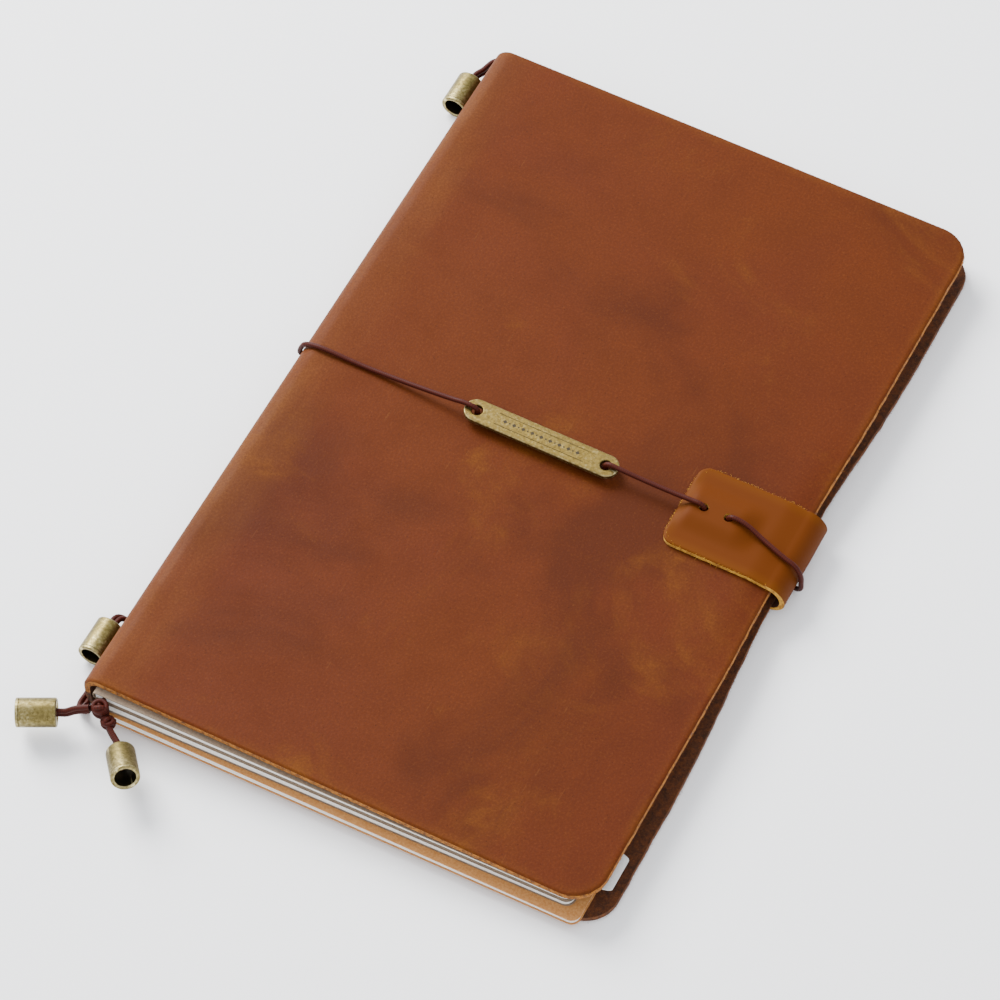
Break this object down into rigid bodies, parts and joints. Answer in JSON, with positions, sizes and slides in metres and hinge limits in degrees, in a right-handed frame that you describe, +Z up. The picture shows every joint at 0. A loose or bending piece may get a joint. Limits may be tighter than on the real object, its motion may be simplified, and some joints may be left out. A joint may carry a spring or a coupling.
{
  "type": "leather notebook cover",
  "caption": "Refillable leather notebook cover with paper inserts, index divider, elastic closure with brass tag and leather strap, and brass beads on cord ends.",
  "frame": {"origin": "centre of the bounding box in X and Y, on the surface that the closed cover lies on", "axes": "+Z up, +X from the spine to the fore edge, +Y from the near end, where the cord ends hang, to the far end"},
  "size_m": [0.1597, 0.2489, 0.0179],
  "materials": {
    "cover_leather": "waxed full grain, mottled pull-up, satin, suede inside, raw golden edges",
    "strap_leather": "waxed golden tan leather, satin, raw edges",
    "paper": "uncoated page edges, matt",
    "kraft": "uncoated brown kraft card, matt",
    "divider_board": "thin grey board, matt",
    "clear_film": "clear flexible film, gloss",
    "antique_brass": "antiqued brass, brushed, worn bright on the edges",
    "insert_elastic": "braided dark brown elastic",
    "brown_cord": "braided dark red-brown elastic cord"
  },
  "bodies": {
    "back": {"back_cover": "cover_leather", "spine_knot_near": "brown_cord", "spine_knot_far": "brown_cord", "closure_cord_spine_down": "brown_cord"},
    "spine": {"spine_leather": "cover_leather", "closure_knot": "brown_cord", "closure_cord_spine_up": "brown_cord"},
    "front": {"front_cover": "cover_leather"},
    "tag": {"brass_tag": "antique_brass", "closure_cord_tag": "brown_cord"},
    "strap": {"closure_strap": "strap_leather", "closure_cord_strap": "brown_cord", "closure_cord_under": "brown_cord"},
    "insert_1": {"insert_1_cover": "kraft", "insert_1_pages": "paper", "insert_elastic_1": "insert_elastic", "clear_pocket": "clear_film"},
    "divider": {"index_divider": "divider_board"},
    "insert_2": {"insert_2_cover": "kraft", "insert_2_pages": "paper", "insert_elastic_2": "insert_elastic"},
    "insert_3": {"insert_3_cover": "kraft", "insert_3_pages": "paper", "insert_elastic_3": "insert_elastic"},
    "bead_1": {"bead_1": "antique_brass", "bead_1_strands": "brown_cord"},
    "bead_2": {"bead_2": "antique_brass", "bead_2_strands": "brown_cord"},
    "bead_3": {"bead_3": "antique_brass", "bead_3_strands": "brown_cord"},
    "bead_4": {"bead_4": "antique_brass", "bead_4_strands": "brown_cord"}
  },
  "joints": [
    {"name": "front_fold", "type": "hinge", "parent": "spine", "child": "front", "pos_m": [-0.06489, 0.01009, 0.01254], "axis": [0, -1, 0], "range_deg": [0, 85], "deforming": ["spine_leather", "closure_strap", "closure_cord_under", "closure_cord_strap", "closure_cord_tag", "closure_cord_spine_up"]},
    {"name": "spine_fold", "type": "hinge", "parent": "back", "child": "spine", "pos_m": [-0.06489, 0.01009, 0.00146], "axis": [0, -1, 0], "range_deg": [0, 85], "deforming": ["closure_cord_spine_down"]},
    {"name": "insert_1_turn", "type": "hinge", "parent": "back", "child": "insert_1", "pos_m": [-0.06205, 0.01009, 0.00902], "axis": [0, -1, 0], "range_deg": [0, 160], "deforming": ["insert_elastic_1"]},
    {"name": "divider_turn", "type": "hinge", "parent": "back", "child": "divider", "pos_m": [-0.06165, 0.01009, 0.00887], "axis": [0, -1, 0], "range_deg": [0, 142]},
    {"name": "insert_2_turn", "type": "hinge", "parent": "back", "child": "insert_2", "pos_m": [-0.06145, 0.01009, 0.00533], "axis": [0, -1, 0], "range_deg": [0, 8], "deforming": ["insert_elastic_2"]},
    {"name": "insert_3_turn", "type": "hinge", "parent": "back", "child": "insert_3", "pos_m": [-0.06145, 0.01009, 0.002], "axis": [0, -1, 0], "range_deg": [0, 3], "deforming": ["insert_elastic_3"]},
    {"name": "tag_pull", "type": "slide", "parent": "front", "child": "tag", "axis": [0.9997, 0, -0.0248], "range_m": [0, 0.02], "stiffness_N_per_m": 60},
    {"name": "strap_pull", "type": "slide", "parent": "tag", "child": "strap", "axis": [0.9997, 0, -0.0248], "range_m": [0, 0.02], "stiffness_N_per_m": 60},
    {"name": "bead_1_swing", "type": "hinge", "parent": "back", "child": "bead_1", "pos_m": [-0.06735, 0.12359, 0.0038], "axis": [0, 0, -1], "range_deg": [0, 106], "deforming": ["bead_1_strands"]},
    {"name": "bead_2_swing", "type": "hinge", "parent": "back", "child": "bead_2", "pos_m": [-0.06795, -0.10391, 0.0038], "axis": [0, 0, 1], "range_deg": [0, 96], "deforming": ["bead_2_strands"]},
    {"name": "bead_3_swing", "type": "hinge", "parent": "back", "child": "bead_3", "pos_m": [-0.05915, -0.10631, 0.009], "axis": [0, 0, 1], "range_deg": [0, 20]},
    {"name": "bead_4_swing", "type": "hinge", "parent": "back", "child": "bead_4", "pos_m": [-0.05915, -0.10631, 0.009], "axis": [0, 0, 1], "range_deg": [-20, 10]}
  ],
  "couplings": [
    {"joint": "spine_fold", "follows": "front_fold", "ratio": 1},
    {"joint": "insert_1_turn", "follows": "front_fold", "ratio": 1.8824},
    {"joint": "divider_turn", "follows": "front_fold", "ratio": 1.6706},
    {"joint": "insert_2_turn", "follows": "front_fold", "ratio": 0.094118},
    {"joint": "insert_3_turn", "follows": "front_fold", "ratio": 0.035294},
    {"joint": "bead_1_swing", "follows": "front_fold", "ratio": 1.2471},
    {"joint": "bead_2_swing", "follows": "front_fold", "ratio": 1.1294},
    {"joint": "tag_pull", "follows": "strap_pull", "ratio": 1}
  ]
}
